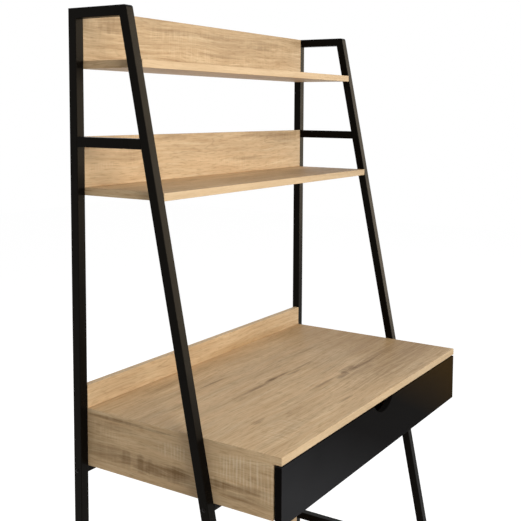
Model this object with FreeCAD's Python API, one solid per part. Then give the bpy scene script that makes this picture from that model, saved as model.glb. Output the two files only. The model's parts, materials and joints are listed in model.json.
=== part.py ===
import FreeCAD, Part
import math
import os

from FreeCAD import Vector

# Overall sizes of the ladder desk, in millimetres
overall_width = 902.0
overall_depth = 511.0
overall_height = 1590.0
desk_height = 750.0

# Square steel tube of the two side frames
tube = 21.0
tube_wall = 1.2
tube_corner = 1.5
crown_radius = 6.0

# Side frame: depth at the crown and at the floor, and the top of its low rail
crown_depth = 157.0
foot_depth = 485.0
low_rail_top = 170.0

# Plastic feet pressed into the lower tube ends
foot_height = 5.0
foot_bevel = 1.0
plug_length = 24.0
plug_wall = 2.0
plug_clearance = 0.2

# Cross bars that carry the desk box
bar_height = 15.0
bar_depth = 20.0
bar_wall = 1.2

# Melamine boards
board = 16.0
board_edge = 0.8
back_board_height = 106.0
shelf_spacing = 262.0
upstand_height = 50.0
desk_side_height = 93.0

# Drawer front, lying over the ends of the desk box
front_thickness = 15.0
front_top_gap = 3.5
front_overhang = 9.0
front_standoff = 3.5
notch_width = 92.0
notch_depth = 23.0
notch_lip = 5.0

# Drawer box of thin boards
drawer_board = 12.0
drawer_rear_gap = 25.0
drawer_side_height = 70.0
drawer_floor_gap = 5.0
drawer_bottom = 3.0
groove_depth = 6.0
groove_height = 10.0
groove_clearance = 0.1

# Bottom-mounted roller runners, one pair on each side
runner_gap = 12.5
runner_sheet = 1.2
runner_setback = 2.0
runner_rise = 9.5
channel_height = 19.0
channel_depth = 10.3
channel_mouth = 45.0
run_flange_depth = 8.8
run_flange_gap = 0.3
slot_width = 4.2
slot_length = 12.0
slot_round_share = 0.45
slot_place_shares = (0.15, 0.5, 0.85)

# Nylon rollers on riveted pins
roller_diameter = 17.0
roller_width = 6.4
roller_gap = 0.2
roller_side_gap = 0.4
roller_clearance = 0.1
pin_diameter = 5.0
pin_head_diameter = 8.0
pin_head_thickness = 0.9
front_roller_inset = 14.0
rear_roller_inset = 12.0

# How far each cut runs past the face that it opens, and how flat an edge has to lie to count as in a face
overrun = 5.0
flat = 0.001
full_turn = 360

# Places that follow from the sizes above
half_width = overall_width / 2
inner_half = half_width - tube
lean = (foot_depth - crown_depth) / overall_height
stretch = math.sqrt(1 + lean * lean)
leg_run = tube * stretch
crown_angle = math.pi / 2 + math.atan(lean)
board_rear = tube - board
board_front = tube
crown_bottom = overall_height - tube
upper_shelf_top = overall_height - back_board_height
lower_shelf_top = upper_shelf_top - shelf_spacing
mid_rail_top = lower_shelf_top + back_board_height

desk_top_bottom = desk_height - board
desk_floor_top = desk_top_bottom - desk_side_height
desk_floor_bottom = desk_floor_top - board
box_front = overall_depth - front_thickness - front_standoff
box_inner_half = inner_half - board
bar_bottom = desk_floor_bottom - bar_height

front_rear = overall_depth - front_thickness
front_top = desk_top_bottom - front_top_gap
front_bottom = desk_floor_bottom - front_overhang
drawer_half = box_inner_half - runner_gap
drawer_inner_half = drawer_half - drawer_board
drawer_rear = board_front + drawer_rear_gap
runner_length = front_rear - drawer_rear
drawer_base = desk_floor_top + drawer_floor_gap
drawer_top = drawer_base + drawer_side_height
bottom_low = drawer_base + groove_height
bottom_high = bottom_low + drawer_bottom

track = desk_floor_top + runner_rise
channel_top = track + channel_height
flange_top = channel_top - run_flange_gap
flange_bottom = flange_top - runner_sheet
runner_front = box_front - runner_setback
runner_rear = runner_front - runner_length
roller_radius = roller_diameter / 2
rear_roller_z = track + roller_gap + roller_radius
front_roller_z = flange_bottom - roller_gap - roller_radius
front_roller_d = runner_front - front_roller_inset
rear_roller_d = drawer_rear + rear_roller_inset
web_outer = runner_gap - runner_sheet
front_roller_u = runner_sheet + roller_side_gap
front_head = front_roller_u + roller_width + roller_side_gap
rear_head = runner_sheet + run_flange_gap + pin_head_thickness
rear_roller_u = rear_head + roller_side_gap
rear_shoulder = rear_roller_u + roller_width + roller_side_gap


def leg_front(z):
    """Depth of the leaning leg's front face at height z."""
    return crown_depth + lean * (overall_height - z)


def leg_rear(z):
    """Depth of the leaning leg's rear face at height z."""
    return leg_front(z) - leg_run


def at(x, depth, z):
    """Point at x, at a depth measured forward from the rear of the frames, and at height z."""
    return Vector(x, overall_depth / 2 - depth, z)


def box(x0, x1, d0, d1, z0, z1):
    """Square-edged block between two widths, two depths and two heights."""
    return Part.makeBox(x1 - x0, d1 - d0, z1 - z0, at(x0, d1, z0))


def rounded_outline(u0, u1, v0, v1, radius, place):
    """Closed rectangle with round corners; place turns each (u, v) into a point."""
    k = radius * (1 - math.sqrt(2) / 2)
    corners = [
        ((u1 - radius, v0), (u1 - k, v0 + k), (u1, v0 + radius)),
        ((u1, v1 - radius), (u1 - k, v1 - k), (u1 - radius, v1)),
        ((u0 + radius, v1), (u0 + k, v1 - k), (u0, v1 - radius)),
        ((u0, v0 + radius), (u0 + k, v0 + k), (u0 + radius, v0)),
    ]
    edges = []
    last = corners[-1][-1]
    for start, middle, end in corners:
        edges.append(Part.LineSegment(place(*last), place(*start)).toShape())
        edges.append(Part.Arc(place(*start), place(*middle), place(*end)).toShape())
        last = end
    return Part.Wire(edges)


def polygon(points):
    """Flat face bounded by straight lines through the points."""
    return Part.Face(Part.makePolygon(list(points) + [points[0]]))


def board_across(x0, x1, d0, d1, z0, z1):
    """Board with its long edges along the width, eased by the edge radius."""
    wire = rounded_outline(d0, d1, z0, z1, board_edge, lambda d, z: at(x0, d, z))
    return Part.Face(wire).extrude(Vector(x1 - x0, 0, 0))


def board_along(x0, x1, d0, d1, z0, z1):
    """Board with its long edges along the depth, eased by the edge radius."""
    wire = rounded_outline(x0, x1, z0, z1, board_edge, lambda x, z: at(x, d0, z))
    return Part.Face(wire).extrude(Vector(0, d0 - d1, 0))


def square_tube(place, run, u0, u1, v0, v1, wall):
    """Hollow tube with round outer corners, drawn in (u, v) and extruded along run."""
    outer = Part.Face(rounded_outline(u0, u1, v0, v1, tube_corner, place)).extrude(run)
    bore = polygon([
        place(u0 + wall, v0 + wall), place(u1 - wall, v0 + wall),
        place(u1 - wall, v1 - wall), place(u0 + wall, v1 - wall),
    ]).extrude(run)
    return outer.cut(bore)


def prism_across(points, x0, x1):
    """Outline of (depth, height) points, extruded across the width."""
    return polygon([at(x0, d, z) for d, z in points]).extrude(Vector(x1 - x0, 0, 0))


def mirrored(shape):
    """The same piece on the other side of the desk."""
    return shape.mirror(Vector(0, 0, 0), Vector(1, 0, 0))


# Side frame members, drawn for the left side
frame_left = -half_width
frame_right = -inner_half


def rear_upright():
    """Rear tube, mitred at its top to meet the top rail."""
    length = overall_height - foot_height
    post = square_tube(lambda x, d: at(x, d, foot_height), Vector(0, 0, length),
                       frame_left, frame_right, 0, tube, tube_wall)
    return post.cut(rear_mitre(True))


def crown_outline(inset, x):
    """Outline of the leg and the top rail in one plane, with every wall moved in by inset."""
    radius = crown_radius - inset
    slant = inset * stretch
    past = overrun if inset else 0
    top = overall_height - inset
    under = crown_bottom + inset
    low = foot_height - past
    front = leg_front(top) - slant
    fork = leg_rear(under) + slant
    reach = radius / math.tan(crown_angle / 2)
    tip = radius / math.sin(crown_angle / 2) - radius
    toe = at(x, leg_front(low) - slant, low)
    heel = at(x, leg_rear(low) + slant, low)
    arc_start = at(x, front + lean * reach / stretch, top - reach / stretch)
    arc_middle = at(x, front - tip * math.cos(crown_angle / 2), top - tip * math.sin(crown_angle / 2))
    arc_end = at(x, front - reach, top)
    rear_top = at(x, -past, top)
    rear_under = at(x, -past, under)
    inner = at(x, fork, under)
    return Part.Wire([
        Part.LineSegment(toe, arc_start).toShape(),
        Part.Arc(arc_start, arc_middle, arc_end).toShape(),
        Part.LineSegment(arc_end, rear_top).toShape(),
        Part.LineSegment(rear_top, rear_under).toShape(),
        Part.LineSegment(rear_under, inner).toShape(),
        Part.LineSegment(inner, heel).toShape(),
        Part.LineSegment(heel, toe).toShape(),
    ])


def rear_mitre(rear_side):
    """Wedge on one side of the mitre between the upright and the top rail."""
    corner = (-overrun, crown_bottom - overrun)
    if rear_side:
        corner = (tube + overrun, overall_height + overrun)
    ends = [(-overrun, overall_height + overrun), (tube + overrun, crown_bottom - overrun)]
    return prism_across(ends + [corner], frame_left - overrun, frame_right + overrun)


def crown_splitter():
    """Block behind the mitre between the leg and the top rail."""
    reach = tube / math.sin(crown_angle / 2) + overrun
    back = math.cos(crown_angle / 2)
    down = math.sin(crown_angle / 2)
    outside = (crown_depth + overrun * back, overall_height + overrun * down)
    inside = (crown_depth - reach * back, overall_height - reach * down)
    ends = [outside, inside, (-overrun, inside[1]), (-overrun, outside[1])]
    return prism_across(ends, frame_left - overrun, frame_right + overrun)


def eased(shape, run):
    """Rounds the long outer edges that lie along run, and the bends that join them."""
    edges = []
    for edge in shape.Edges:
        outside = edge.BoundBox
        on_left = max(abs(outside.XMin - frame_left), abs(outside.XMax - frame_left)) < flat
        on_right = max(abs(outside.XMin - frame_right), abs(outside.XMax - frame_right)) < flat
        if not (on_left or on_right):
            continue
        bend = isinstance(edge.Curve, Part.Circle)
        if bend or edge.tangentAt(edge.FirstParameter).cross(run).Length < flat:
            edges.append(edge)
    return shape.makeFillet(tube_corner, edges)


def leg_and_top_rail():
    """Leaning front leg and top rail, mitred at the rounded crown."""
    outer = Part.Face(crown_outline(0, frame_left)).extrude(Vector(tube, 0, 0))
    bore_width = tube - 2 * tube_wall
    bore = Part.Face(crown_outline(tube_wall, frame_left + tube_wall)).extrude(Vector(bore_width, 0, 0))
    bent = outer.cut(bore)
    splitter = crown_splitter()
    leg = eased(bent.cut(splitter), Vector(0, -lean / stretch, -1 / stretch))
    rail = eased(bent.common(splitter).cut(rear_mitre(False)), Vector(0, 1, 0))
    return leg, rail


def side_rail(top):
    """Level rail from the upright's front face to the leg's slanting rear face."""
    low = top - tube
    length = leg_front(low) - tube
    rail = square_tube(lambda x, z: at(x, tube, z), Vector(0, -length, 0),
                       frame_left, frame_right, low, top, tube_wall)
    ahead = prism_across([
        (leg_rear(top + overrun), top + overrun),
        (leg_rear(low - overrun), low - overrun),
        (leg_front(low) + overrun, low - overrun),
        (leg_front(low) + overrun, top + overrun),
    ], frame_left - overrun, frame_right + overrun)
    return rail.cut(ahead)


def foot(rear, front, slope, swell):
    """Plastic foot: a bevelled pad on the floor and a hollow plug up inside the tube."""
    cut = tube_corner
    d0 = rear(0)
    d1 = front(0)
    sole = [
        (frame_left + cut, d0), (frame_right - cut, d0), (frame_right, d0 + cut), (frame_right, d1 - cut),
        (frame_right - cut, d1), (frame_left + cut, d1), (frame_left, d1 - cut), (frame_left, d0 + cut),
    ]
    pad = polygon([at(x, d, 0) for x, d in sole]).extrude(Vector(0, slope * foot_height, foot_height))
    pad = pad.makeChamfer(foot_bevel, [edge for edge in pad.Edges if edge.BoundBox.ZMax < flat])
    climb = Vector(0, slope * plug_length, plug_length)
    plugs = []
    for inset in (tube_wall + plug_clearance, tube_wall + plug_clearance + plug_wall):
        x0 = frame_left + inset
        x1 = frame_right - inset
        d0 = rear(foot_height) + inset * swell
        d1 = front(foot_height) - inset * swell
        corners = [(x0, d0), (x1, d0), (x1, d1), (x0, d1)]
        plugs.append(polygon([at(x, d, foot_height) for x, d in corners]).extrude(climb))
    return pad.fuse(plugs[0].cut(plugs[1])).removeSplitter()


def cross_bar(front):
    """Tube across the desk under its floor board."""
    return square_tube(lambda d, z: at(-inner_half, d, z), Vector(2 * inner_half, 0, 0),
                       front - bar_depth, front, bar_bottom, desk_floor_bottom, bar_wall)


def shelf(top):
    """Shelf whose front edge lies flush with the legs at half its thickness."""
    return board_across(-inner_half, inner_half, board_rear, leg_front(top - board / 2), top - board, top)


def back_board(low, top):
    """Board between the uprights, flush with their front faces."""
    return board_across(-inner_half, inner_half, board_rear, board_front, low, top)


def notched_front():
    """Drawer front with a round-shouldered finger notch in its top edge."""
    radius = (notch_width ** 2 / 4 + notch_depth ** 2) / (2 * notch_depth)
    centre = front_top - notch_depth + radius
    lip_z = front_top - notch_lip
    lip_x = math.sqrt((radius + notch_lip) ** 2 - (centre - lip_z) ** 2)
    meet_share = radius / (radius + notch_lip)
    meet_x = lip_x * meet_share
    meet_z = centre + (lip_z - centre) * meet_share
    swing = (math.atan2(meet_z - lip_z, meet_x - lip_x) + math.pi / 2) / 2
    lip_middle_x = lip_x + notch_lip * math.cos(swing)
    lip_middle_z = lip_z + notch_lip * math.sin(swing)

    def point(x, z):
        return at(x, front_rear, z)

    outline = [
        Part.LineSegment(point(-inner_half, front_top), point(-inner_half, front_bottom)),
        Part.LineSegment(point(-inner_half, front_bottom), point(inner_half, front_bottom)),
        Part.LineSegment(point(inner_half, front_bottom), point(inner_half, front_top)),
        Part.LineSegment(point(inner_half, front_top), point(lip_x, front_top)),
        Part.Arc(point(lip_x, front_top), point(lip_middle_x, lip_middle_z), point(meet_x, meet_z)),
        Part.Arc(point(meet_x, meet_z), point(0, front_top - notch_depth), point(-meet_x, meet_z)),
        Part.Arc(point(-meet_x, meet_z), point(-lip_middle_x, lip_middle_z), point(-lip_x, front_top)),
        Part.LineSegment(point(-lip_x, front_top), point(-inner_half, front_top)),
    ]
    wire = Part.Wire([edge.toShape() for edge in outline])
    front = Part.Face(wire).extrude(Vector(0, -front_thickness, 0))
    front = front.makeFillet(board_edge, [edge for edge in front.Edges if edge.BoundBox.YLength < flat])
    groove_half = drawer_inner_half + groove_depth
    groove = box(-groove_half, groove_half, front_rear - overrun, front_rear + groove_depth,
                 bottom_low - groove_clearance, bottom_high + groove_clearance)
    return front.cut(groove)


def drawer_side():
    """Left side of the drawer, grooved on its inner face for the drawer bottom."""
    side = board_along(-drawer_half, -drawer_inner_half, drawer_rear, front_rear, drawer_base, drawer_top)
    groove = box(-drawer_inner_half - groove_depth, -drawer_inner_half + overrun,
                 drawer_rear - overrun, front_rear + overrun,
                 bottom_low - groove_clearance, bottom_high + groove_clearance)
    return side.cut(groove)


def runner_x(u):
    """Width of a point that lies u in from the left side panel's inner face."""
    return u - box_inner_half


def section_along(points, d0, d1):
    """Sheet section of (u, z) points, extruded along the depth."""
    return polygon([at(runner_x(u), d0, z) for u, z in points]).extrude(Vector(0, d0 - d1, 0))


def turned(u0, u1, radius, bore, depth, z):
    """Round piece on an axis across the desk, between u0 and u1."""
    points = [(u0, bore), (u1, bore), (u1, radius), (u0, radius)]
    face = polygon([at(runner_x(u), depth, z + r) for u, r in points])
    return face.revolve(at(0, depth, z), Vector(1, 0, 0), full_turn)


def roller(u0, depth, z):
    """Nylon roller with a running bore."""
    return turned(u0, u0 + roller_width, roller_radius, pin_diameter / 2 + roller_clearance, depth, z)


def cabinet_runner():
    """Channel on the side panel, open at its mouth, with the pin of the front roller."""
    low = track - runner_sheet
    high = channel_top + runner_sheet
    sheet = section_along([
        (0, low), (channel_depth, low), (channel_depth, track), (runner_sheet, track),
        (runner_sheet, channel_top), (channel_depth, channel_top), (channel_depth, high), (0, high),
    ], runner_rear, runner_front)
    mouth = box(runner_x(runner_sheet), runner_x(channel_depth) + overrun,
                runner_front - channel_mouth, runner_front + overrun, channel_top, high + overrun)
    sheet = sheet.cut(mouth)
    slot_z = (track + channel_top) / 2
    for share in slot_place_shares:
        slot_d = runner_rear + runner_length * share
        wire = rounded_outline(slot_d - slot_length / 2, slot_d + slot_length / 2,
                               slot_z - slot_width / 2, slot_z + slot_width / 2,
                               slot_width * slot_round_share, lambda d, z: at(runner_x(-overrun), d, z))
        sheet = sheet.cut(Part.Face(wire).extrude(Vector(overrun + 2 * runner_sheet, 0, 0)))
    pin = turned(runner_sheet, front_head, pin_diameter / 2, 0, front_roller_d, front_roller_z)
    head = turned(front_head, front_head + pin_head_thickness, pin_head_diameter / 2, 0,
                  front_roller_d, front_roller_z)
    return sheet.fuse([pin, head]).removeSplitter()


def drawer_runner():
    """Folded sheet under the drawer side, with a running flange and the pin of the rear roller."""
    low = drawer_base - runner_sheet
    sheet = section_along([
        (web_outer, low), (runner_gap + drawer_board, low), (runner_gap + drawer_board, drawer_base),
        (runner_gap, drawer_base), (runner_gap, flange_top), (web_outer - run_flange_depth, flange_top),
        (web_outer - run_flange_depth, flange_bottom), (web_outer, flange_bottom),
    ], drawer_rear, front_rear)
    shoulder = turned(rear_shoulder, web_outer, pin_head_diameter / 2, 0, rear_roller_d, rear_roller_z)
    pin = turned(rear_head, rear_shoulder, pin_diameter / 2, 0, rear_roller_d, rear_roller_z)
    head = turned(rear_head - pin_head_thickness, rear_head, pin_head_diameter / 2, 0,
                  rear_roller_d, rear_roller_z)
    return sheet.fuse([shoulder, pin, head]).removeSplitter()


# Single pieces, across the desk
parts = {}
parts["rear_cross_bar"] = cross_bar(bar_depth)
parts["front_cross_bar"] = cross_bar(leg_front(bar_bottom + bar_height / 2))
parts["desk_top"] = board_across(-inner_half, inner_half, board_rear, overall_depth, desk_top_bottom, desk_height)
parts["desk_floor"] = board_across(-inner_half, inner_half, board_rear, box_front, desk_floor_bottom, desk_floor_top)
parts["desk_back"] = board_across(-box_inner_half, box_inner_half, board_rear, board_front,
                                  desk_floor_top, desk_top_bottom)
parts["desk_upstand"] = back_board(desk_height, desk_height + upstand_height)
parts["upper_shelf"] = shelf(upper_shelf_top)
parts["upper_back_board"] = back_board(upper_shelf_top, overall_height)
parts["lower_shelf"] = shelf(lower_shelf_top)
parts["lower_back_board"] = back_board(lower_shelf_top, mid_rail_top)
parts["low_rear_panel"] = back_board(low_rail_top - back_board_height, low_rail_top)
parts["drawer_front"] = notched_front()
parts["drawer_back"] = board_across(-drawer_inner_half, drawer_inner_half, drawer_rear, drawer_rear + drawer_board,
                                    bottom_high, drawer_top)
bottom_half = drawer_inner_half + groove_depth - groove_clearance
parts["drawer_bottom"] = box(-bottom_half, bottom_half, drawer_rear, front_rear + groove_depth - groove_clearance,
                             bottom_low, bottom_high)

# Pieces that come in left and right pairs
leg, top_rail = leg_and_top_rail()
pairs = {
    "rear_upright": rear_upright(),
    "front_leg": leg,
    "top_rail": top_rail,
    "mid_rail": side_rail(mid_rail_top),
    "low_rail": side_rail(low_rail_top),
    "rear_foot": foot(lambda z: 0, lambda z: tube, 0, 1),
    "front_foot": foot(leg_rear, leg_front, lean, stretch),
    "cabinet_runner": cabinet_runner(),
    "drawer_runner": drawer_runner(),
    "front_roller": roller(front_roller_u, front_roller_d, front_roller_z),
    "rear_roller": roller(rear_roller_u, rear_roller_d, rear_roller_z),
}
desk_side = board_along(-inner_half, -box_inner_half, board_rear, box_front, desk_floor_top, desk_top_bottom)
parts["desk_left_side"] = desk_side
parts["desk_right_side"] = mirrored(desk_side)
parts["drawer_left_side"] = drawer_side()
parts["drawer_right_side"] = mirrored(parts["drawer_left_side"])
for name, shape in pairs.items():
    parts["left_" + name] = shape
    parts["right_" + name] = mirrored(shape)

os.makedirs("parts", exist_ok=True)
for name, shape in parts.items():
    shape.exportStep("parts/" + name + ".step")
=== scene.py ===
"""Ladder desk: finishes, bolts, screws, floor, light and camera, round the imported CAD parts."""
import json
import math

import bpy
from mathutils import Matrix, Vector


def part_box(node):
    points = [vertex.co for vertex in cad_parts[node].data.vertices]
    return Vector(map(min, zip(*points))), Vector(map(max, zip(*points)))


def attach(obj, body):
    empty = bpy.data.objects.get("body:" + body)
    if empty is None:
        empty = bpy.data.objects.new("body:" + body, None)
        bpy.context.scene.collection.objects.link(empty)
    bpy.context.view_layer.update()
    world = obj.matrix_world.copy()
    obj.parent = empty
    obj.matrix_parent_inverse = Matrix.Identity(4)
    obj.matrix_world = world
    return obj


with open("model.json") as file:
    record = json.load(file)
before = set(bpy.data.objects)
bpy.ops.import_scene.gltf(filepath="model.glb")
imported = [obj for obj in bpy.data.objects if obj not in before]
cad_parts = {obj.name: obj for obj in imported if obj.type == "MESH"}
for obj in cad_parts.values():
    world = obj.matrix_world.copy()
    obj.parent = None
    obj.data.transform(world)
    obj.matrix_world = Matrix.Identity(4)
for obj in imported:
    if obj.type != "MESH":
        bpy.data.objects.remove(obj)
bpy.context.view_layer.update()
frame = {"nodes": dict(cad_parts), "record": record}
scene = bpy.context.scene

# Small lengths below are written in millimetres and used in metres
mm = 0.001

# Camera fitted to the desk's edges in the photograph, in pixels, metres and degrees
image_size = 521
focal_pixels = 853.36
centre_pixel = (301.48, 179.77)
camera_place = Vector((-1.7122, -1.0688, 1.3867))
camera_yaw, camera_pitch, camera_roll = 58.814, -4.669, 0.483
sensor_width = 36.0

# Studio: pale floor, white surroundings, a soft key lamp in front on the left, a weaker one low behind that
# lights the rear of the boards and shows in no gloss, and a tall warm one on the right that shows only as a
# sheen along the tubes
white = "#FFFFFF"
floor_side = 16.0
floor_colour = "#C0C0C0"
floor_glow = 0.80
ambient_strength = 0.36
key_lamp_size, key_lamp_power = (2.0, 2.0), 82.0
key_lamp_place = Vector((-1.05, -2.6, 2.1))
rear_lamp_size, rear_lamp_power = (1.4, 1.4), 32.0
rear_lamp_place = Vector((0.4, 3.2, 1.0))
sheen_lamp_size, sheen_lamp_power = (1.8, 2.8), 122.0
sheen_lamp_place = Vector((2.88, -2.06, 1.9))
sheen_lamp_colour = "#FFEBCC"
lamp_aim = Vector((0.0, 0.0, 0.9))

# Most of a noise pattern lies between these two values
noise_low, noise_high = 0.3, 0.7

# Edge bands of the boards: a shade darker on the upper shelf and the desk box's floor, darkest on the desk top
pale_band, upper_shelf_band, desk_top_band = "#DABD95", "#D6B68D", "#C2A984"

# Marks in the oak print, and darker patches of painted shade and painted shadow where noted: place along and
# across the grain, half length and half width in mm, then how dark the mark is and how far the grain bows
# round it, as shares. The last two of the desk top are on its left end
desk_top_marks_and_shade = (
    # The first two darken the right part of the top: partly a darker print, partly painted shade
    (270, -20, 170, 90, 0.20, 0.0),
    (330, -165, 340, 80, 0.44, 0.0),
    (260, -106, 200, 16, 0.30, 0.0),
    (130, 75, 110, 16, 0.36, 0.0),
    (-235, 188, 70, 20, 0.32, 0.0),
    (-320, 78, 45, 12, 0.36, 0.0),
    (-290, -195, 170, 12, 0.32, 0.0),
    (-160, -104, 55, 8, 0.32, 0.0),
    (110, -62, 75, 9, 0.34, 0.0),
    (-20, -106, 60, 5, 0.60, 0.0),
    (62, -117, 28, 8, 0.90, 0.0),
    (88, -108, 14, 10, 0.80, 0.6),
    (112, -97, 40, 9, 0.60, 0.8),
    (132, -110, 30, 8, 0.95, 0.0),
    (190, -115, 46, 6, 0.55, 0.0),
    (-122, 6, 72, 5, 0.75, 0.0),
    (-58, 12, 24, 6, 0.95, 0.0),
    (-14, 11, 46, 4, 0.75, 0.0),
    (72, 7, 52, 4, 0.60, 0.0),
    (22, -3, 34, 4, 0.60, 0.0),
    (-152, 113, 50, 4, 0.60, 0.0),
    (-82, -201, 38, 4, 0.60, 0.0),
    (-300, -116, 24, 6, 0.50, 0.5),
    # A dark line along the lower edge of the left end: partly vein, partly painted shadow of the seam
    (150, 740, 85, 4, 0.75, 0.0),
    (40, 738, 52, 3, 0.70, 0.0),
)
left_side_marks = (
    (225, 695, 80, 55, 0.26, 0.0),
    (160, 662, 75, 20, 0.40, 0.0),
    (30, 660, 120, 24, 0.26, 0.0),
    (128, 666, 16, 14, 0.60, 0.3),
    (86, 666, 12, 16, 0.85, 0.3),
    (64, 660, 12, 16, 0.80, 0.3),
    (84, 650, 20, 9, 0.65, 0.0),
    (40, 657, 22, 13, 0.80, 0.3),
    (-9, 664, 34, 12, 0.95, 0.3),
    (-5, 651, 32, 10, 0.75, 0.0),
    (-112, 667, 30, 11, 0.85, 0.2),
    (-160, 668, 50, 8, 0.65, 0.0),
    (-200, 672, 40, 6, 0.40, 0.0),
    (-150, 655, 70, 6, 0.40, 0.0),
    (-192, 648, 50, 6, 0.35, 0.0),
    (-150, 649, 36, 8, 0.40, 0.0),
    (150, 722, 60, 9, 0.32, 0.0),
)
upper_back_marks_and_shadow = (
    # The first row darkens the upper part of the whole board; the rows at -350 are a painted shadow of the
    # left leg and the top rail
    (-20, 1548, 480, 70, 0.26, 0.0),
    (-350, 1574, 45, 26, 0.60, 0.0),
    (10, 1568, 70, 7, 0.35, 0.0),
    (40, 1520, 100, 6, 0.30, 0.0),
    (220, 1552, 60, 6, 0.50, 0.4),
    (-120, 1565, 110, 8, 0.42, 0.0),
    (250, 1564, 90, 6, 0.32, 0.0),
    (-350, 1552, 40, 8, 0.50, 0.0),
    (-20, 1494, 330, 9, 0.24, 0.0),
)
lower_back_marks = (
    (290, 1322, 170, 12, 0.45, 0.0),
    (-150, 1322, 60, 12, 0.35, 0.0),
    (350, 1306, 70, 14, 0.36, 0.0),
    (-290, 1284, 45, 18, 0.36, 0.0),
    (150, 1258, 100, 7, 0.34, 0.0),
)
# Painted shade: darkens the right end of the lower shelf
lower_shelf_painted_shade = ((430, 75, 280, 100, 0.70, 0.0),)
# Warm areas, some of them painted shade as noted, and rows of saw strokes: place along and across the grain,
# half length and half width in mm, and strength as a share
# Painted shade on the right end of the desk top, warmer and darker, partly a darker print
desk_top_warm_shade = ((480, 0, 330, 330, 0.46),)
lower_shelf_warm_areas = ((200, 80, 750, 100, 0.34),)
# Painted contact shade: darker along the foot of the upstand, where the desk top meets it
upstand_contact_shade = ((150, 750, 280, 22, 0.40),)
desk_top_saw_rows = ((-310, -180, 90, 45, 0.26), (250, 60, 140, 40, 0.16))
left_side_saw_rows = ((-170, 702, 70, 36, 0.34), (0, 706, 44, 18, 0.24), (-225, 690, 26, 44, 0.24))

# Button-head bolts that hold the cross bars to the tubes
bolt_head, bolt_height = 8.5 * mm, 2.2 * mm
hex_socket, hex_depth = 3.5 * mm, 1.4 * mm
# Flat-domed screws through the sheet of each drawer runner, at shares of its length
screw_head, screw_height = 6.4 * mm, 0.9 * mm
screw_recess, recess_depth = 2.4 * mm, 0.6 * mm
runner_sheet = 1.2 * mm
runner_screw_shares = (0.12, 0.48, 0.84)


def linear(colour):
    """An sRGB hex colour as linear red, green and blue, with alpha 1."""
    parts = (int(colour[i:i + 2], 16) / 255 for i in (1, 3, 5))
    return [c / 12.92 if c <= 0.04045 else ((c + 0.055) / 1.055) ** 2.4 for c in parts] + [1.0]


def add(tree, kind, inputs=(), stops=(), **settings):
    """Adds a node with its settings, and the places and colours of its ramp if it has one.

    Each input is a value, or the node or socket that feeds it.
    """
    node = tree.nodes.new(kind)
    for name, value in settings.items():
        setattr(node, name, value)
    for order, (position, colour) in enumerate(stops):
        elements = node.color_ramp.elements
        stop = elements[order] if order < len(elements) else elements.new(position)
        stop.position, stop.color = position, linear(colour)
    for key, value in dict(inputs).items():
        socket = node.inputs[key] if isinstance(key, int) else next(
            s for s in node.inputs if s.name == key and s.enabled)
        if isinstance(value, bpy.types.Node):
            value = next(s for s in value.outputs if s.enabled)
        if isinstance(value, bpy.types.NodeSocket):
            tree.links.new(value, socket)
        else:
            socket.default_value = value
    return node


def new_material(name):
    """An empty node material, its tree and its Object coordinates."""
    material = bpy.data.materials.new(name)
    material.use_nodes = True
    tree = material.node_tree
    tree.nodes.clear()
    return material, tree, add(tree, "ShaderNodeTexCoord").outputs["Object"]


def facing(tree):
    """How squarely the surface faces along X, Y and Z, either way."""
    normal = add(tree, "ShaderNodeNewGeometry").outputs["True Normal"]
    either_way = add(tree, "ShaderNodeVectorMath", {"Vector": normal}, operation="ABSOLUTE")
    return add(tree, "ShaderNodeSeparateXYZ", {"Vector": either_way}).outputs


def ellipse(tree, grain, along_mm, across_mm, half_length, half_width):
    """Offset from an ellipse's middle, in its half lengths and half widths, and the square of that offset."""
    offset = add(tree, "ShaderNodeVectorMath", {
        0: grain, 1: (along_mm * mm, across_mm * mm, 0)}, operation="SUBTRACT")
    scaled = add(tree, "ShaderNodeVectorMath", {
        0: offset, 1: (1 / (half_length * mm), 1 / (half_width * mm), 0)}, operation="MULTIPLY")
    square = add(tree, "ShaderNodeVectorMath", {0: scaled, 1: scaled}, operation="DOT_PRODUCT")
    return scaled, square.outputs["Value"]


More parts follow.
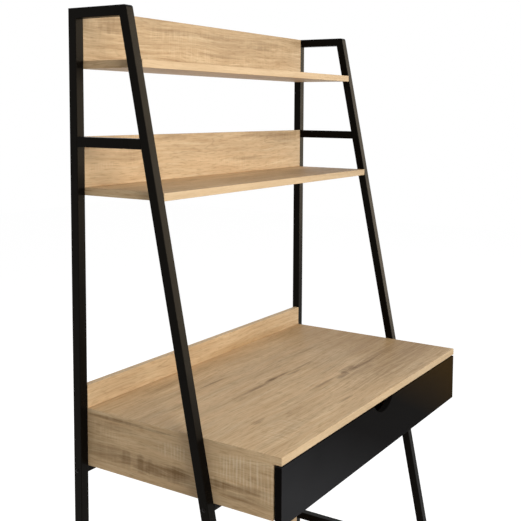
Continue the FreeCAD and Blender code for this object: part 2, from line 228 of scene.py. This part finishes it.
def oak_melamine(name, axes, band_colour, marks_and_shade=(), saw_rows=(), warm_areas_and_shade=()):
    """Chipboard faced with oak-print melamine paper, pressed on a satin plate with shallow pores.

    The eye gets a nearly even pale honey colour with fine lines that wander along the board, a few thin darker
    veins, short pores, patches of light saw strokes across the grain and a soft sheen, with plainer bands on
    its long edges. The axes are those along the print, across it and through the board. On a board along X,
    the bands of its ends run along Y. Each board is cut from its own part of the printed sheet, so that the
    lines break off where two boards meet.
    """
    sheet_length, sheet_width = 7.3, 4.1
    flow_reach, flow_width, flow_length = 22 * mm, 90 * mm, 360 * mm
    line_pitch, line_length = 7.0 * mm, 210 * mm
    tone_width, tone_length = 42 * mm, 230 * mm
    vein_gap, vein_length = 46 * mm, 340 * mm
    # Real pores are 0.3 mm wide, and are drawn coarser so that they show
    pore_pitch, pore_length = 2.6 * mm, 30 * mm
    stroke_pitch, stroke_height = 8 * mm, 40 * mm
    press_depth = 0.12 * mm
    line_colours = ((0.28, "#C4A278"), (0.44, "#CEAE85"), (0.58, "#D4B68D"), (0.74, "#DAC098"))
    vein_colour, pore_colour, saw_colour = "#8F7049", "#A07D52", "#F0DFBF"
    warm_and_shade_colour, stain_and_shade_colour = "#976E32", "#7B5E3B"
    dark_tone, pale_tone = 0.88, 1.08
    vein_crest, vein_strength = 0.022, 0.30
    pore_strength, saw_strength, band_strength = 0.44, 0.16, 0.5
    # Each pair is where a mark starts to show and where it is full
    vein_tones, pore_values, saw_tones, stroke_values = (0.52, 0.40), (0.53, 0.72), (0.54, 0.68), (0.45, 0.68)
    row_reaches, warm_reaches, stain_and_shade_reaches = (1.2, 0.3), (1.0, 0.0), (2.8, 1.3)
    comb_share = 0.3
    line_share, scratch_share = 2.3, 0.7
    dull, glossy = 0.58, 0.48

    material, tree, place = new_material(name)
    xyz = add(tree, "ShaderNodeSeparateXYZ", {"Vector": place}).outputs
    faces = facing(tree)
    grain = add(tree, "ShaderNodeCombineXYZ", {
        "X": xyz[axes[0]], "Y": xyz[axes[1]], "Z": xyz[axes[2]]}).outputs[0]
    if axes[0] == "X":
        at_end = add(tree, "ShaderNodeMath", {0: faces["X"]}, operation="ROUND")
        end_grain = add(tree, "ShaderNodeCombineXYZ", {"X": xyz["Y"], "Y": xyz["Z"], "Z": xyz["X"]})
        grain = add(tree, "ShaderNodeMix", {
            "Factor": at_end, "A": grain, "B": end_grain}, data_type="VECTOR").outputs[1]
    cut_place = add(tree, "ShaderNodeObjectInfo").outputs["Random"]
    sheet = add(tree, "ShaderNodeVectorMath", {
        0: cut_place, 1: (sheet_length, sheet_width, 0), 2: grain}, operation="MULTIPLY_ADD")
    uvw = add(tree, "ShaderNodeSeparateXYZ", {"Vector": sheet}).outputs
    across = add(tree, "ShaderNodeMath", {0: uvw["Y"], 1: uvw["Z"]}, operation="ADD")

    # Each mark is an ellipse whose reach is 1 at its edge, and the grain bows round it
    reaches = []
    for along_mm, across_mm, half_length, half_width, depth, bow in marks_and_shade:
        scaled, reach = ellipse(tree, grain, along_mm, across_mm, half_length, half_width)
        reaches.append((reach, depth))
        if bow:
            side = add(tree, "ShaderNodeSeparateXYZ", {"Vector": scaled}).outputs["Y"]
            spread = add(tree, "ShaderNodeMath", {0: reach, 1: 1.0}, operation="ADD")
            near = add(tree, "ShaderNodeMath", {0: spread, 1: -2.0}, operation="POWER")
            push = add(tree, "ShaderNodeMath", {0: side, 1: near}, operation="MULTIPLY")
            across = add(tree, "ShaderNodeMath", {
                0: push, 1: -bow * half_width * mm, 2: across}, operation="MULTIPLY_ADD")

    # The lines, veins and pores follow a slow sideways flow
    flow = add(tree, "ShaderNodeTexNoise", {
        "Vector": add(tree, "ShaderNodeMapping", {
            "Vector": sheet, "Scale": (1 / flow_length, 1 / flow_width, 1 / flow_width)}),
        "Scale": 1.0, "Detail": 2.0})
    sway = add(tree, "ShaderNodeMapRange", {"Value": flow, "To Min": -flow_reach, "To Max": flow_reach})
    line = add(tree, "ShaderNodeMath", {0: across, 1: sway}, operation="ADD")
    line_place = add(tree, "ShaderNodeCombineXYZ", {"X": uvw["X"], "Y": line})
    lines = add(tree, "ShaderNodeTexNoise", {
        "Vector": add(tree, "ShaderNodeMapping", {
            "Vector": line_place, "Scale": (1 / line_length, 1 / line_pitch, 1.0)}),
        "Scale": 1.0, "Detail": 5.0, "Roughness": 0.68}, noise_dimensions="2D")
    colour = add(tree, "ShaderNodeValToRGB", {"Fac": lines}, stops=line_colours)

    tone = add(tree, "ShaderNodeTexNoise", {
        "Vector": add(tree, "ShaderNodeMapping", {
            "Vector": sheet, "Scale": (1 / tone_length, 1 / tone_width, 1 / tone_width)}),
        "Scale": 1.0, "Detail": 3.0})
    shade = add(tree, "ShaderNodeMapRange", {
        "Value": tone, "From Min": noise_low, "From Max": noise_high,
        "To Min": dark_tone, "To Max": pale_tone})
    colour = add(tree, "ShaderNodeVectorMath", {"Vector": colour, "Scale": shade}, operation="SCALE")

    # Veins run along the middle values of a noise, and only where the tone is dark
    veins = add(tree, "ShaderNodeTexNoise", {
        "Vector": add(tree, "ShaderNodeMapping", {
            "Vector": line_place, "Scale": (1 / vein_length, 1 / vein_gap, 1.0)}),
        "Scale": 1.0, "Detail": 3.0}, noise_dimensions="2D")
    from_middle = add(tree, "ShaderNodeMath", {0: veins, 1: 0.5}, operation="SUBTRACT")
    crest = add(tree, "ShaderNodeMath", {0: from_middle}, operation="ABSOLUTE")
    vein = add(tree, "ShaderNodeMath", {
        0: add(tree, "ShaderNodeMapRange", {"Value": crest, "From Min": vein_crest, "From Max": 0.0}),
        1: add(tree, "ShaderNodeMapRange", {
            "Value": tone, "From Min": vein_tones[0], "From Max": vein_tones[1], "To Max": vein_strength})},
        operation="MULTIPLY")
    colour = add(tree, "ShaderNodeMix", {
        "Factor": vein, "A": colour, "B": linear(vein_colour)}, data_type="RGBA")

    pores = add(tree, "ShaderNodeTexNoise", {
        "Vector": add(tree, "ShaderNodeMapping", {
            "Vector": line_place, "Scale": (1 / pore_length, 1 / pore_pitch, 1.0)}),
        "Scale": 1.0, "Detail": 2.0}, noise_dimensions="2D")
    pore = add(tree, "ShaderNodeMapRange", {
        "Value": pores, "From Min": pore_values[0], "From Max": pore_values[1], "To Max": pore_strength})
    colour = add(tree, "ShaderNodeMix", {
        "Factor": pore, "A": colour, "B": linear(pore_colour)}, data_type="RGBA")

    # Saw strokes stand like the teeth of a comb, one to each pitch, and noise breaks them up. The wave has one
    # crest to each unit of place at a scale of pi / 10
    stroke_place = add(tree, "ShaderNodeMapping", {
        "Vector": line_place, "Scale": (1 / stroke_pitch, 1 / stroke_height, 1.0)})
    scratches = add(tree, "ShaderNodeTexNoise", {
        "Vector": stroke_place, "Scale": 1.0, "Detail": 1.0}, noise_dimensions="2D")
    comb = add(tree, "ShaderNodeTexWave", {
        "Vector": stroke_place, "Scale": math.pi / 10, "Distortion": 4.5, "Detail": 1.0, "Detail Scale": 0.5})
    strokes = add(tree, "ShaderNodeMix", {"Factor": comb_share, "A": scratches, "B": comb.outputs["Fac"]})
    sawn = add(tree, "ShaderNodeMapRange", {
        "Value": tone, "From Min": saw_tones[0], "From Max": saw_tones[1], "To Max": saw_strength})
    for along_mm, across_mm, half_length, half_width, strength in saw_rows:
        _, reach = ellipse(tree, grain, along_mm, across_mm, half_length, half_width)
        row = add(tree, "ShaderNodeMapRange", {
            "Value": reach, "From Min": row_reaches[0], "From Max": row_reaches[1], "To Max": strength})
        sawn = add(tree, "ShaderNodeMath", {0: sawn, 1: row}, operation="MAXIMUM")
    stroke = add(tree, "ShaderNodeMapRange", {
        "Value": strokes, "From Min": stroke_values[0], "From Max": stroke_values[1]})
    saw_marks = add(tree, "ShaderNodeMath", {0: stroke, 1: sawn}, operation="MULTIPLY")
    colour = add(tree, "ShaderNodeMix", {
        "Factor": saw_marks, "A": colour, "B": linear(saw_colour)}, data_type="RGBA")

    # Warm areas tint the print warmer and darker; on the desk top and the upstand they are painted shade
    for along_mm, across_mm, half_length, half_width, strength in warm_areas_and_shade:
        _, reach = ellipse(tree, grain, along_mm, across_mm, half_length, half_width)
        warmth_and_shade = add(tree, "ShaderNodeMapRange", {
            "Value": reach, "From Min": warm_reaches[0], "From Max": warm_reaches[1], "To Max": strength})
        colour = add(tree, "ShaderNodeMix", {
            "Factor": warmth_and_shade, "A": colour, "B": linear(warm_and_shade_colour)}, data_type="RGBA")

    # The lines and the scratches break up the outline of each mark
    line_breaks = add(tree, "ShaderNodeMath", {0: lines, 1: line_share}, operation="MULTIPLY")
    breaks = add(tree, "ShaderNodeMath", {
        0: scratches, 1: scratch_share, 2: line_breaks}, operation="MULTIPLY_ADD")
    # Each mark darkens the print towards its stain colour; some are painted shade and painted shadow
    for reach, depth in reaches:
        ragged = add(tree, "ShaderNodeMath", {0: breaks, 1: reach}, operation="ADD")
        stain = add(tree, "ShaderNodeMapRange", {
            "Value": ragged, "From Min": stain_and_shade_reaches[0], "From Max": stain_and_shade_reaches[1], "To Max": depth})
        colour = add(tree, "ShaderNodeMix", {
            "Factor": stain, "A": colour, "B": linear(stain_and_shade_colour)}, data_type="RGBA")

    on_band = add(tree, "ShaderNodeMath", {0: faces[axes[1]]}, operation="ROUND")
    band = add(tree, "ShaderNodeMath", {0: on_band, 1: band_strength}, operation="MULTIPLY")
    colour = add(tree, "ShaderNodeMix", {
        "Factor": band, "A": colour, "B": linear(band_colour)}, data_type="RGBA")
    relief = add(tree, "ShaderNodeMath", {0: pore, 1: -1.0, 2: lines}, operation="MULTIPLY_ADD")
    bump = add(tree, "ShaderNodeBump", {"Height": relief, "Strength": 0.6, "Distance": press_depth})
    gloss = add(tree, "ShaderNodeMapRange", {
        "Value": lines, "From Min": noise_low, "From Max": noise_high, "To Min": dull, "To Max": glossy})
    surface = add(tree, "ShaderNodeBsdfPrincipled", {
        "Base Color": colour, "Roughness": gloss, "Specular IOR Level": 0.2, "Normal": bump})
    add(tree, "ShaderNodeOutputMaterial", {"Surface": surface})
    return material


def powder_coat(name, colour, worn_colour, roughness, peel_width):
    """Baked polyester powder on steel: a satin black skin with fine orange peel, a little uneven in gloss."""
    cloud_width, peel_depth = 60 * mm, 0.05 * mm
    gloss_swing = 0.05
    sheen_level, sheen_tint = 0.045, "#FFF2DC"
    material, tree, place = new_material(name)
    clouds = add(tree, "ShaderNodeTexNoise", {"Vector": place, "Scale": 1 / cloud_width, "Detail": 3.0})
    peel = add(tree, "ShaderNodeTexNoise", {"Vector": place, "Scale": 1 / peel_width, "Detail": 1.0})
    tint = add(tree, "ShaderNodeMix", {
        "Factor": clouds, "A": linear(colour), "B": linear(worn_colour)}, data_type="RGBA")
    gloss = add(tree, "ShaderNodeMapRange", {
        "Value": clouds, "From Min": noise_low, "From Max": noise_high,
        "To Min": roughness - gloss_swing, "To Max": roughness + gloss_swing})
    bump = add(tree, "ShaderNodeBump", {"Height": peel, "Strength": 0.5, "Distance": peel_depth})
    surface = add(tree, "ShaderNodeBsdfPrincipled", {
        "Base Color": tint, "Roughness": gloss, "Specular IOR Level": sheen_level,
        "Specular Tint": linear(sheen_tint), "Normal": bump})
    add(tree, "ShaderNodeOutputMaterial", {"Surface": surface})
    return material


def satin_lacquer(name):
    """Black lacquer rolled on board and rubbed to satin, with a faint roller texture.

    Its face carries a painted reflection: greyer at the lower left, and browner at the upper right. Its end
    edges stay plain black, without the painted reflection.
    """
    roller_width, cloud_width, roller_depth = 1.8 * mm, 120 * mm, 0.04 * mm
    # X plus twice Z, from the face's lower left corner to its upper right one
    slant, lower_left, upper_right = (1, 0, 2), 0.87, 1.87
    # Painted reflection: cool grey at the lower left, black in the middle, warm brown at the upper right
    painted_reflection_colours = ((0.06, "#2B2B2C"), (0.42, "#141313"), (0.62, "#121110"), (0.94, "#31230D"))
    plain_end_colour = "#110F0E"
    dark_cloud, pale_cloud = 0.92, 1.08
    glossy, dull = 0.42, 0.50
    material, tree, place = new_material(name)
    clouds = add(tree, "ShaderNodeTexNoise", {"Vector": place, "Scale": 1 / cloud_width, "Detail": 3.0})
    stipple = add(tree, "ShaderNodeTexNoise", {"Vector": place, "Scale": 1 / roller_width, "Detail": 2.0})
    along = add(tree, "ShaderNodeVectorMath", {0: place, 1: slant}, operation="DOT_PRODUCT").outputs["Value"]
    # Place along the painted reflection, from the face's lower left corner to its upper right one
    rubbed = add(tree, "ShaderNodeMapRange", {"Value": along, "From Min": lower_left, "From Max": upper_right})
    coat = add(tree, "ShaderNodeValToRGB", {"Fac": rubbed}, stops=painted_reflection_colours)
    # The end edges get the plain colour, without the painted reflection
    at_end = add(tree, "ShaderNodeMath", {0: facing(tree)["X"]}, operation="ROUND")
    coat = add(tree, "ShaderNodeMix", {"Factor": at_end, "A": coat, "B": linear(plain_end_colour)}, data_type="RGBA")
    shade = add(tree, "ShaderNodeMapRange", {
        "Value": clouds, "From Min": noise_low, "From Max": noise_high,
        "To Min": dark_cloud, "To Max": pale_cloud})
    tint = add(tree, "ShaderNodeVectorMath", {"Vector": coat, "Scale": shade}, operation="SCALE")
    gloss = add(tree, "ShaderNodeMapRange", {
        "Value": clouds, "From Min": noise_low, "From Max": noise_high, "To Min": glossy, "To Max": dull})
    bump = add(tree, "ShaderNodeBump", {"Height": stipple, "Strength": 0.4, "Distance": roller_depth})
    surface = add(tree, "ShaderNodeBsdfPrincipled", {
        "Base Color": tint, "Roughness": gloss, "Specular IOR Level": 0.003, "Normal": bump})
    add(tree, "ShaderNodeOutputMaterial", {"Surface": surface})
    return material


def hardboard(name):
    """Wet-pressed wood fibre sheet with a printed face: dull mid brown, mottled, with short pale fibres."""
    # Real fibres are 0.2 mm wide, and are drawn coarser so that they show
    fibre_width = 2.4 * mm
    mottle_width, mottle_share, fibre_depth = 40 * mm, 0.3, 0.08 * mm
    fibre_colours = ((0.32, "#A17F57"), (0.48, "#B08D64"), (0.62, "#BE9D74"))
    material, tree, place = new_material(name)
    fibres = add(tree, "ShaderNodeTexNoise", {
        "Vector": place, "Scale": 1 / fibre_width, "Detail": 3.0, "Roughness": 0.6, "Distortion": 1.5})
    mottle = add(tree, "ShaderNodeTexNoise", {"Vector": place, "Scale": 1 / mottle_width, "Detail": 2.0})
    blend = add(tree, "ShaderNodeMix", {"Factor": mottle_share, "A": fibres, "B": mottle})
    tint = add(tree, "ShaderNodeValToRGB", {"Fac": blend}, stops=fibre_colours)
    bump = add(tree, "ShaderNodeBump", {"Height": fibres, "Strength": 0.6, "Distance": fibre_depth})
    surface = add(tree, "ShaderNodeBsdfPrincipled", {
        "Base Color": tint, "Roughness": 0.75, "Specular IOR Level": 0.2, "Normal": bump})
    add(tree, "ShaderNodeOutputMaterial", {"Surface": surface})
    return material


def moulded_plastic(name, dark, pale, roughness, translucence):
    """Injection-moulded plastic from a spark-eroded tool: an even colour, fine grain and slight flow marks."""
    grain_width, flow_width, grain_depth, scatter_depth = 0.8 * mm, 9 * mm, 0.03 * mm, 2 * mm
    gloss_swing = 0.06
    material, tree, place = new_material(name)
    sparks = add(tree, "ShaderNodeTexNoise", {"Vector": place, "Scale": 1 / grain_width, "Detail": 1.0})
    flow = add(tree, "ShaderNodeTexNoise", {"Vector": place, "Scale": 1 / flow_width, "Detail": 2.0})
    tint = add(tree, "ShaderNodeMix", {
        "Factor": flow, "A": linear(dark), "B": linear(pale)}, data_type="RGBA")
    gloss = add(tree, "ShaderNodeMapRange", {
        "Value": sparks, "From Min": noise_low, "From Max": noise_high,
        "To Min": roughness - gloss_swing, "To Max": roughness + gloss_swing})
    bump = add(tree, "ShaderNodeBump", {"Height": sparks, "Strength": 0.5, "Distance": grain_depth})
    surface = add(tree, "ShaderNodeBsdfPrincipled", {
        "Base Color": tint, "Roughness": gloss, "Subsurface Weight": translucence,
        "Subsurface Scale": scatter_depth, "Subsurface Radius": (1.0, 1.0, 1.0), "Specular IOR Level": 0.35,
        "Normal": bump})
    add(tree, "ShaderNodeOutputMaterial", {"Surface": surface})
    return material


def coated_fastener_steel(name, dark, pale):
    """Headed steel with a thin black oxide or zinc coat: fine tool marks and an oily, uneven gloss."""
    stain_width, ring_pitch, ring_depth = 3 * mm, 0.5 * mm, 0.01 * mm
    glossy, dull = 0.34, 0.48
    material, tree, place = new_material(name)
    stain = add(tree, "ShaderNodeTexNoise", {"Vector": place, "Scale": 1 / stain_width, "Detail": 2.0})
    rings = add(tree, "ShaderNodeTexNoise", {"Vector": place, "Scale": 1 / ring_pitch, "Detail": 0.0})
    tint = add(tree, "ShaderNodeMix", {
        "Factor": stain, "A": linear(dark), "B": linear(pale)}, data_type="RGBA")
    gloss = add(tree, "ShaderNodeMapRange", {
        "Value": stain, "From Min": noise_low, "From Max": noise_high, "To Min": glossy, "To Max": dull})
    bump = add(tree, "ShaderNodeBump", {"Height": rings, "Strength": 0.4, "Distance": ring_depth})
    surface = add(tree, "ShaderNodeBsdfPrincipled", {
        "Base Color": tint, "Metallic": 1.0, "Roughness": gloss, "Normal": bump})
    add(tree, "ShaderNodeOutputMaterial", {"Surface": surface})
    return material


def finish_cad_parts():
    """Gives every CAD part the finish of its slot, with own prints for some boards, a few carrying painted
    shade.
    """
    finishes = {
        "frame_black": powder_coat("black_powder_coated_steel", "#060504", "#0C0A08", 0.30, 2.2 * mm),
        "oak_melamine": oak_melamine("oak_print_melamine", "XYZ", upper_shelf_band),
        "front_black": satin_lacquer("black_satin_lacquer_with_painted_reflection"),
        "drawer_board": oak_melamine("oak_foil_drawer_board", "YZX", pale_band),
        "drawer_hardboard": hardboard("printed_hardboard"),
        "runner_steel": powder_coat("black_epoxy_coated_sheet", "#1C1C1C", "#262626", 0.34, 1.4 * mm),
        "roller_nylon": moulded_plastic("natural_moulded_nylon", "#BDB9AC", "#DAD7CC", 0.42, 0.25),
        "foot_plastic": moulded_plastic("black_moulded_polypropylene", "#111111", "#1A1A1A", 0.5, 0.0),
    }
    own_prints_and_shade = {
        "desk_top": oak_melamine(
            "oak_print_melamine_with_knot_and_shade", "XYZ", desk_top_band, desk_top_marks_and_shade, desk_top_saw_rows,
            desk_top_warm_shade),
        "desk_left_side": oak_melamine(
            "oak_print_melamine_with_crotch", "YZX", pale_band, left_side_marks, left_side_saw_rows),
        "desk_right_side": oak_melamine("oak_print_melamine_across", "YZX", pale_band),
        "lower_shelf": oak_melamine(
            "oak_print_melamine_shaded_end", "XYZ", pale_band, lower_shelf_painted_shade,
            warm_areas_and_shade=lower_shelf_warm_areas),
        "upper_back_board": oak_melamine("oak_print_melamine_streaked_and_shadowed", "XZY", pale_band, upper_back_marks_and_shadow),
        "lower_back_board": oak_melamine("oak_print_melamine_dark_edge", "XZY", pale_band, lower_back_marks),
        **dict.fromkeys(("desk_upstand", "desk_back", "low_rear_panel"), oak_melamine(
            "oak_print_melamine_upright_shaded_foot", "XZY", pale_band, warm_areas_and_shade=upstand_contact_shade)),
    }
    for part in frame["record"]["subparts"]:
        node = part["node"]
        for slot in frame["nodes"][node].material_slots:
            slot.material = own_prints_and_shade.get(node) or finishes[part["material_slot"]]


def head_tree(name, material):
    """A Geometry Nodes tree that sets a domed head with a recess on each point, facing the point's way out."""
    rim_sides, top_rings = 24, 4
    rim_drop = 0.7  # share of the head's height by which the dome falls to its rim
    corner_share = 0.5 / math.cos(math.pi / 6)  # from a hexagon's width to the radius of its corners
    tree = bpy.data.node_groups.new(name, "GeometryNodeTree")
    tree.interface.new_socket("Geometry", in_out="INPUT", socket_type="NodeSocketGeometry")
    for size in ("Head Diameter", "Head Height", "Socket Width", "Socket Depth"):
        tree.interface.new_socket(size, in_out="INPUT", socket_type="NodeSocketFloat")
    tree.interface.new_socket("Geometry", in_out="OUTPUT", socket_type="NodeSocketGeometry")
    given = add(tree, "NodeGroupInput").outputs

    radius = add(tree, "ShaderNodeMath", {0: given["Head Diameter"], 1: 0.5}, operation="MULTIPLY")
    blank = add(tree, "GeometryNodeMeshCylinder", {
        "Vertices": rim_sides, "Fill Segments": top_rings, "Radius": radius, "Depth": given["Head Height"]},
        fill_type="TRIANGLE_FAN")
    spot = add(tree, "ShaderNodeSeparateXYZ", {"Vector": add(tree, "GeometryNodeInputPosition")}).outputs
    flat_spot = add(tree, "ShaderNodeCombineXYZ", {"X": spot["X"], "Y": spot["Y"]})
    out = add(tree, "ShaderNodeVectorMath", {0: flat_spot}, operation="LENGTH").outputs["Value"]
    share = add(tree, "ShaderNodeMath", {0: out, 1: radius}, operation="DIVIDE")
    sink = add(tree, "ShaderNodeMath", {
        0: add(tree, "ShaderNodeMath", {0: share, 1: 2.0}, operation="POWER"),
        1: add(tree, "ShaderNodeMath", {0: given["Head Height"], 1: -rim_drop}, operation="MULTIPLY")},
        operation="MULTIPLY")
    on_top = add(tree, "ShaderNodeMath", {0: spot["Z"], 1: 0.0}, operation="GREATER_THAN")
    dome = add(tree, "GeometryNodeSetPosition", {
        "Geometry": blank, "Selection": on_top, "Offset": add(tree, "ShaderNodeCombineXYZ", {"Z": sink})})

    corner = add(tree, "ShaderNodeMath", {0: given["Socket Width"], 1: corner_share}, operation="MULTIPLY")
    crown = add(tree, "ShaderNodeMath", {0: given["Head Height"], 1: 0.5}, operation="MULTIPLY")
    socket_floor = add(tree, "ShaderNodeMath", {0: crown, 1: given["Socket Depth"]}, operation="SUBTRACT")
    hexagon = add(tree, "GeometryNodeCurvePrimitiveCircle", {"Resolution": 6, "Radius": corner})
    stem = add(tree, "GeometryNodeCurvePrimitiveLine", {
        "Start": add(tree, "ShaderNodeCombineXYZ", {"Z": socket_floor}),
        "End": add(tree, "ShaderNodeCombineXYZ", {"Z": given["Head Height"]})})
    socket = add(tree, "GeometryNodeCurveToMesh", {
        "Curve": stem, "Profile Curve": hexagon, "Fill Caps": True})
    head = add(tree, "GeometryNodeMeshBoolean", {"Mesh 1": dome, "Mesh 2": socket}, operation="DIFFERENCE")
    seated = add(tree, "GeometryNodeTransform", {
        "Geometry": head, "Translation": add(tree, "ShaderNodeCombineXYZ", {"Z": crown})})

    way_out = add(tree, "GeometryNodeInputNamedAttribute", {"Name": "way_out"}, data_type="FLOAT_VECTOR")
    turn = add(tree, "FunctionNodeAlignRotationToVector", {"Vector": way_out}, axis="Z")
    heads = add(tree, "GeometryNodeInstanceOnPoints", {
        "Points": given["Geometry"], "Instance": seated, "Rotation": turn})
    solid = add(tree, "GeometryNodeRealizeInstances", {"Geometry": heads})
    coated = add(tree, "GeometryNodeSetMaterial", {"Geometry": solid, "Material": material})
    add(tree, "NodeGroupOutput", {"Geometry": coated})
    return tree


def heads_on(body, name, seats, tree, sizes):
    """Heads on seats, each a point and the way out of it, as one plain mesh that rides on a body."""
    points = bpy.data.meshes.new(name + "_seats")
    points.from_pydata([seat for seat, _ in seats], [], [])
    ways = points.attributes.new("way_out", "FLOAT_VECTOR", "POINT")
    for place, (_, way) in zip(ways.data, seats):
        place.vector = way
    piece = bpy.data.objects.new(name, points)
    scene.collection.objects.link(piece)
    modifier = piece.modifiers.new("heads", "NODES")
    modifier.node_group = tree
    for item in tree.interface.items_tree:
        if item.in_out == "INPUT" and item.name in sizes:
            modifier[item.identifier] = sizes[item.name]
    evaluated = piece.evaluated_get(bpy.context.evaluated_depsgraph_get())
    mesh = bpy.data.meshes.new_from_object(evaluated)
    piece.modifiers.clear()
    piece.data = mesh
    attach(piece, body)


def cross_bar_bolts():
    """Bolts through the outer faces of both side frames, into the ends of the two cross bars."""
    half_width = -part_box("left_front_leg")[0].x
    seats = []
    for bar in ("front_cross_bar", "rear_cross_bar"):
        low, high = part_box(bar)
        middle = (low + high) / 2
        seats += [((way * half_width, middle.y, middle.z), (way, 0, 0)) for way in (-1, 1)]
    tree = head_tree("domed_bolt_heads", coated_fastener_steel("black_oxide_steel", "#12100F", "#24211F"))
    heads_on("stand", "cross_bar_bolts", seats, tree, {
        "Head Diameter": bolt_head, "Head Height": bolt_height,
        "Socket Width": hex_socket, "Socket Depth": hex_depth})


def runner_screws():
    """Screws through the upright sheet of each drawer runner, into the drawer side that it carries."""
    seats = []
    for side, way in (("left", -1), ("right", 1)):
        low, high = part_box(side + "_drawer_runner")
        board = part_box("drawer_" + side + "_side")[0 if way < 0 else 1].x
        for share in runner_screw_shares:
            seat = (board + way * runner_sheet, low.y + (high.y - low.y) * share, (low.z + high.z) / 2)
            seats.append((seat, (way, 0, 0)))
    tree = head_tree("runner_screw_heads", coated_fastener_steel("zinc_plated_steel", "#8E8D89", "#B4B2AC"))
    heads_on("drawer", "runner_screws", seats, tree, {
        "Head Diameter": screw_head, "Head Height": screw_height,
        "Socket Width": screw_recess, "Socket Depth": recess_depth})


def seen_directly(tree):
    """1 on rays that see the surroundings as a picture: from the camera, a gloss or clear glass."""
    path = add(tree, "ShaderNodeLightPath").outputs
    seen = add(tree, "ShaderNodeMath", {
        0: path["Is Camera Ray"], 1: path["Is Glossy Ray"]}, operation="MAXIMUM")
    return add(tree, "ShaderNodeMath", {0: seen, 1: path["Is Transmission Ray"]}, operation="MAXIMUM")


def studio_floor():
    """A plain pale sheet under the desk. Where seen, it glows up to white, and it keeps the desk's shadow."""
    half = floor_side / 2
    corners = [(-half, -half, 0), (half, -half, 0), (half, half, 0), (-half, half, 0)]
    mesh = bpy.data.meshes.new("studio_floor")
    mesh.from_pydata(corners, [], [(0, 1, 2, 3)])
    sheet = bpy.data.objects.new("studio_floor", mesh)
    scene.collection.objects.link(sheet)
    material, tree, _ = new_material("white_paper_floor")
    paper = add(tree, "ShaderNodeBsdfDiffuse", {"Color": linear(floor_colour)})
    strength = add(tree, "ShaderNodeMath", {0: seen_directly(tree), 1: floor_glow}, operation="MULTIPLY")
    glow = add(tree, "ShaderNodeEmission", {"Strength": strength})
    add(tree, "ShaderNodeOutputMaterial", {
        "Surface": add(tree, "ShaderNodeAddShader", {0: paper, 1: glow})})
    mesh.materials.append(material)


def surroundings():
    """White where they are seen, and a plain soft grey level of light on everything else."""
    world = bpy.data.worlds.new("white_studio")
    scene.world = world
    world.use_nodes = True
    tree = world.node_tree
    tree.nodes.clear()
    strength = add(tree, "ShaderNodeMapRange", {
        "Value": seen_directly(tree), "To Min": ambient_strength, "To Max": 1.0})
    add(tree, "ShaderNodeOutputWorld", {
        "Surface": add(tree, "ShaderNodeBackground", {"Color": linear(white), "Strength": strength})})


def soft_lamp(name, place, size, power, colour):
    """A soft lamp of a width and a height, aimed at the middle of the desk."""
    data = bpy.data.lights.new(name, "AREA")
    data.shape = "RECTANGLE"
    data.size, data.size_y = size
    data.energy = power
    data.color = linear(colour)[:3]
    lamp = bpy.data.objects.new(name, data)
    lamp.location = place
    lamp.rotation_euler = (lamp_aim - place).to_track_quat("-Z", "Y").to_euler()
    scene.collection.objects.link(lamp)
    return lamp


def photograph_camera():
    """The camera of the photograph: same place, turn and lens, its frame shifted as the crop shifts it."""
    yaw, pitch, roll = (math.radians(a) for a in (camera_yaw, camera_pitch, camera_roll))
    ahead = Vector((math.sin(yaw) * math.cos(pitch), math.cos(yaw) * math.cos(pitch), math.sin(pitch)))
    level = Vector((math.cos(yaw), -math.sin(yaw), 0))
    upright = level.cross(ahead)
    right = math.cos(roll) * level + math.sin(roll) * upright
    up = math.cos(roll) * upright - math.sin(roll) * level
    data = bpy.data.cameras.new("photograph_camera")
    data.sensor_width = sensor_width
    data.lens = focal_pixels / image_size * sensor_width
    data.shift_x = 0.5 - centre_pixel[0] / image_size
    data.shift_y = centre_pixel[1] / image_size - 0.5
    camera = bpy.data.objects.new("photograph_camera", data)
    turn = Matrix((right, up, -ahead)).transposed().to_4x4()
    camera.matrix_world = Matrix.Translation(camera_place) @ turn
    scene.collection.objects.link(camera)
    scene.camera = camera


scene.view_settings.view_transform = "Standard"
photograph_camera()
studio_floor()
surroundings()
soft_lamp("key_lamp", key_lamp_place, key_lamp_size, key_lamp_power, white)
rear_lamp = soft_lamp("rear_lamp", rear_lamp_place, rear_lamp_size, rear_lamp_power, white)
rear_lamp.visible_glossy = False
sheen_lamp = soft_lamp("sheen_lamp", sheen_lamp_place, sheen_lamp_size, sheen_lamp_power, sheen_lamp_colour)
sheen_lamp.visible_diffuse = False
finish_cad_parts()
cross_bar_bolts()
runner_screws()
